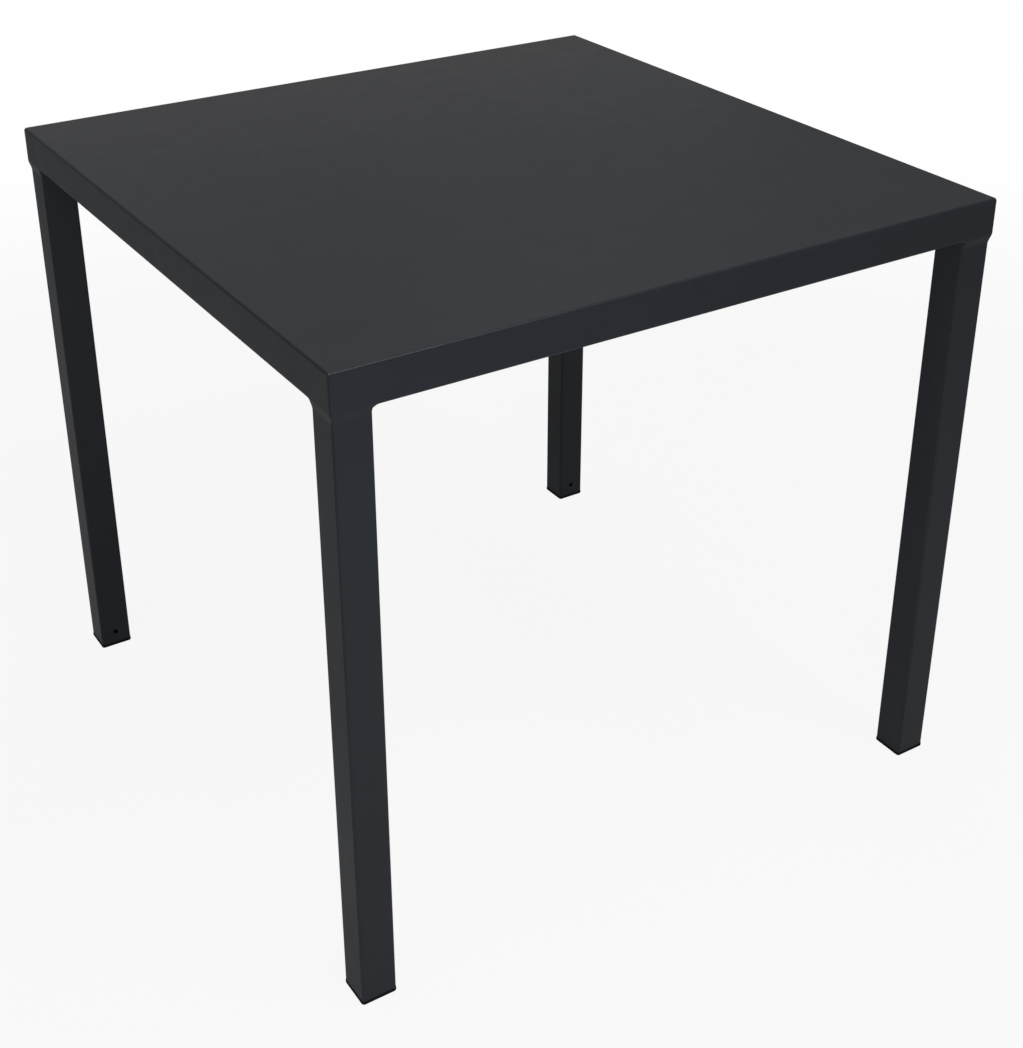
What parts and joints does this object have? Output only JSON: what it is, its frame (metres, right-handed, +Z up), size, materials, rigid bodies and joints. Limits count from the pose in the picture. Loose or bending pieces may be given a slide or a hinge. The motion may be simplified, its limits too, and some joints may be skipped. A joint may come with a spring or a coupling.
{
  "type": "garden table",
  "caption": "Square welded steel garden table with a folded sheet top, square tube legs and plastic foot inserts.",
  "frame": {"origin": "on the floor, under the centre of the square top", "axes": "+X to the right along the front edge, +Y to the back, +Z up"},
  "size_m": [0.8, 0.8, 0.73],
  "materials": {
    "powder_coat": "satin anthracite powder coat with a fine orange-peel texture, on steel",
    "foot_plastic": "matt black moulded polyethylene"
  },
  "bodies": {
    "root": {"tabletop_tray": "powder_coat", "corner_seam_front_left": "powder_coat", "corner_seam_front_right": "powder_coat", "corner_seam_back_left": "powder_coat", "corner_seam_back_right": "powder_coat", "leg_front_left": "powder_coat", "leg_front_right": "powder_coat", "leg_back_left": "powder_coat", "leg_back_right": "powder_coat", "leg_weld_front_left": "powder_coat", "leg_weld_front_right": "powder_coat", "leg_weld_back_left": "powder_coat", "leg_weld_back_right": "powder_coat", "corner_gusset_front_left": "powder_coat", "corner_gusset_front_right": "powder_coat", "corner_gusset_back_left": "powder_coat", "corner_gusset_back_right": "powder_coat", "gusset_stitch_welds": "powder_coat", "stiffening_rib_left": "powder_coat", "stiffening_rib_right": "powder_coat", "rib_stitch_welds": "powder_coat", "foot_insert_front_left": "foot_plastic", "foot_insert_front_right": "foot_plastic", "foot_insert_back_left": "foot_plastic", "foot_insert_back_right": "foot_plastic"}
  },
  "joints": []
}
